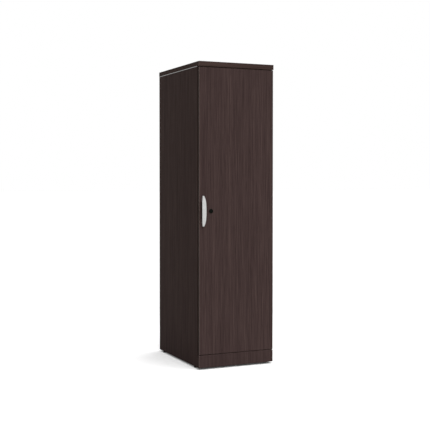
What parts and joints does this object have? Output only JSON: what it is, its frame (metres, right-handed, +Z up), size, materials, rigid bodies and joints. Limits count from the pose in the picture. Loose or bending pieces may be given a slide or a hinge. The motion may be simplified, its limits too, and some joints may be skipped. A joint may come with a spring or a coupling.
{
  "type": "wardrobe cabinet",
  "caption": "Tall, narrow free-standing wardrobe cabinet in dark woodgrain laminate, with a hinged door, bowed pull, cam lock, hat shelf and clothes rod.",
  "frame": {"origin": "on the floor, at the middle of the overall box in plan, with the pull included", "axes": "+Z up, +X to the right seen from the front, the door faces -Y"},
  "size_m": [0.454, 0.625, 1.676],
  "materials": {
    "laminate": "espresso woodgrain laminate, satin",
    "edge_band": "espresso plastic edge band, satin",
    "back_board": "espresso faced hardboard, matt",
    "reveal_silver": "satin silver",
    "pull_nickel": "satin nickel plated casting",
    "lock_black": "satin black",
    "rod_chrome": "bright chrome",
    "zinc_plated": "zinc plated",
    "hinge_nickel": "nickel plated",
    "glide_black": "moulded black nylon on a steel stud",
    "dowel_beech": "bare beech",
    "bumper_clear": "soft clear bumper"
  },
  "bodies": {
    "case": {"left_side_panel": "laminate", "right_side_panel": "laminate", "top_panel": "laminate", "sub_top_panel": "laminate", "bottom_panel": "laminate", "kick_plate": "laminate", "rear_base_rail": "laminate", "hat_shelf": "laminate", "left_side_edge_band": "edge_band", "right_side_edge_band": "edge_band", "top_edge_band": "edge_band", "shelf_edge_band": "edge_band", "back_panel": "back_board", "reveal_strip_left": "reveal_silver", "reveal_strip_right": "reveal_silver", "clothes_rod": "rod_chrome", "rod_socket_left": "rod_chrome", "rod_socket_right": "rod_chrome", "rod_socket_screws": "zinc_plated", "cam_fittings": "zinc_plated", "cam_bolts": "zinc_plated", "top_screws": "zinc_plated", "back_panel_screws": "zinc_plated", "kick_brackets": "zinc_plated", "kick_bracket_screws": "zinc_plated", "leveler_inserts": "zinc_plated", "lock_strike": "zinc_plated", "lock_strike_screws": "zinc_plated", "hinge_plate_screws": "zinc_plated", "hinge_arm_screws": "zinc_plated", "shelf_pins": "zinc_plated", "hinge_arm_top": "hinge_nickel", "hinge_arm_middle": "hinge_nickel", "hinge_arm_bottom": "hinge_nickel", "hinge_plate_top": "hinge_nickel", "hinge_plate_middle": "hinge_nickel", "hinge_plate_bottom": "hinge_nickel", "dowels": "dowel_beech"},
    "door": {"door_panel": "laminate", "door_edge_band": "edge_band", "handle": "pull_nickel", "handle_screws": "zinc_plated", "lock_housing": "lock_black", "lock_nut": "zinc_plated", "hinge_pins": "zinc_plated", "hinge_cup_screws": "zinc_plated", "door_bumpers": "bumper_clear", "hinge_cup_top": "hinge_nickel", "hinge_cup_middle": "hinge_nickel", "hinge_cup_bottom": "hinge_nickel"},
    "lock": {"lock_plug": "lock_black", "lock_cam": "zinc_plated", "lock_cam_bolt": "zinc_plated"},
    "leveler_front_left": {"leveler_front_left": "glide_black"},
    "leveler_front_right": {"leveler_front_right": "glide_black"},
    "leveler_rear_left": {"leveler_rear_left": "glide_black"},
    "leveler_rear_right": {"leveler_rear_right": "glide_black"}
  },
  "joints": [
    {"name": "door_hinge", "type": "hinge", "parent": "case", "child": "door", "pos_m": [0.217, -0.281, 0.863], "axis": [0, 0, 1], "range_deg": [0, 100]},
    {"name": "lock_turn", "type": "hinge", "parent": "door", "child": "lock", "pos_m": [-0.1548, -0.2905, 0.864], "axis": [0, -1, 0], "range_deg": [0, 90]},
    {"name": "leveler_front_left_screw", "type": "slide", "parent": "case", "child": "leveler_front_left", "axis": [0, 0, -1], "range_m": [0, 0.015]},
    {"name": "leveler_front_right_screw", "type": "slide", "parent": "case", "child": "leveler_front_right", "axis": [0, 0, -1], "range_m": [0, 0.015]},
    {"name": "leveler_rear_left_screw", "type": "slide", "parent": "case", "child": "leveler_rear_left", "axis": [0, 0, -1], "range_m": [0, 0.015]},
    {"name": "leveler_rear_right_screw", "type": "slide", "parent": "case", "child": "leveler_rear_right", "axis": [0, 0, -1], "range_m": [0, 0.015]}
  ]
}
